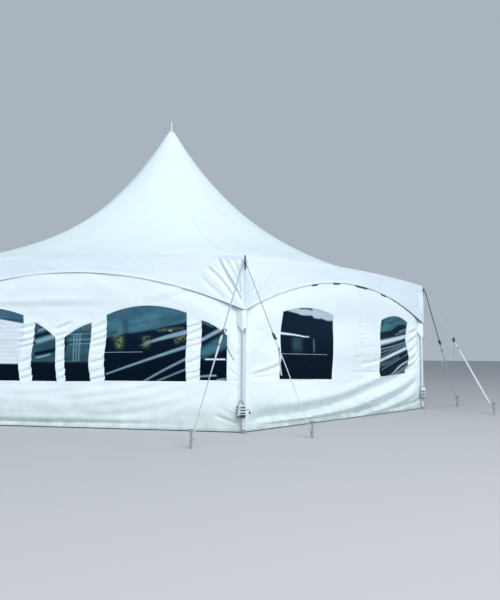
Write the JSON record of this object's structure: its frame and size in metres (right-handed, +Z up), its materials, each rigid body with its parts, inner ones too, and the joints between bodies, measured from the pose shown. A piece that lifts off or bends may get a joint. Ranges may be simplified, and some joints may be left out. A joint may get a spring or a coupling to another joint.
{
  "type": "marquee tent",
  "caption": "White hexagonal marquee tent with a high peaked roof on a centre pole, arched valances, side walls with clear windows, and legs guyed to steel stakes.",
  "frame": {"origin": "middle of the floor at ground level, on the centre pole's axis", "axes": "+Z up, +X from the centre towards the leg named right, -Y towards the front wall"},
  "size_m": [13.048, 12.321, 6.22],
  "materials": {
    "roof_membrane": "satin coated, welded seams",
    "valance_membrane": "satin coated",
    "sidewall_fabric": "satin coated, creased",
    "clear_window_vinyl": "clear flexible vinyl, wrinkled",
    "leg_tube": "satin anodised",
    "jack_casting": "worn paint",
    "guy_webbing": "woven webbing",
    "stake_steel": "weathered",
    "centre_pole_tube": "satin anodised",
    "crown_steel": "grey paint"
  },
  "bodies": {
    "root": {"roof_canopy": "roof_membrane", "valance_front": "valance_membrane", "valance_front_right": "valance_membrane", "valance_back_right": "valance_membrane", "valance_back": "valance_membrane", "valance_back_left": "valance_membrane", "valance_front_left": "valance_membrane", "sidewall_front": "sidewall_fabric", "sidewall_front_right": "sidewall_fabric", "sidewall_back_right": "sidewall_fabric", "sidewall_back": "sidewall_fabric", "sidewall_back_left": "sidewall_fabric", "sidewall_front_left": "sidewall_fabric", "window_sheet_front": "clear_window_vinyl", "window_sheet_front_right": "clear_window_vinyl", "window_sheet_back_right": "clear_window_vinyl", "window_sheet_back": "clear_window_vinyl", "window_sheet_back_left": "clear_window_vinyl", "window_sheet_front_left": "clear_window_vinyl", "leg_front_right": "leg_tube", "leg_right": "leg_tube", "leg_back_right": "leg_tube", "leg_back_left": "leg_tube", "leg_left": "leg_tube", "leg_front_left": "leg_tube", "leg_jack_front_right": "jack_casting", "leg_jack_right": "jack_casting", "leg_jack_back_right": "jack_casting", "leg_jack_back_left": "jack_casting", "leg_jack_left": "jack_casting", "leg_jack_front_left": "jack_casting", "guy_front_right_left": "guy_webbing", "guy_front_right_right": "guy_webbing", "guy_right_left": "guy_webbing", "guy_right_right": "guy_webbing", "guy_back_right_left": "guy_webbing", "guy_back_right_right": "guy_webbing", "guy_back_left_left": "guy_webbing", "guy_back_left_right": "guy_webbing", "guy_left_left": "guy_webbing", "guy_left_right": "guy_webbing", "guy_front_left_left": "guy_webbing", "guy_front_left_right": "guy_webbing", "stake_front_right_left": "stake_steel", "stake_front_right_right": "stake_steel", "stake_right_left": "stake_steel", "stake_right_right": "stake_steel", "stake_back_right_left": "stake_steel", "stake_back_right_right": "stake_steel", "stake_back_left_left": "stake_steel", "stake_back_left_right": "stake_steel", "stake_left_left": "stake_steel", "stake_left_right": "stake_steel", "stake_front_left_left": "stake_steel", "stake_front_left_right": "stake_steel", "centre_pole": "centre_pole_tube", "mast_crown": "crown_steel"}
  },
  "joints": []
}
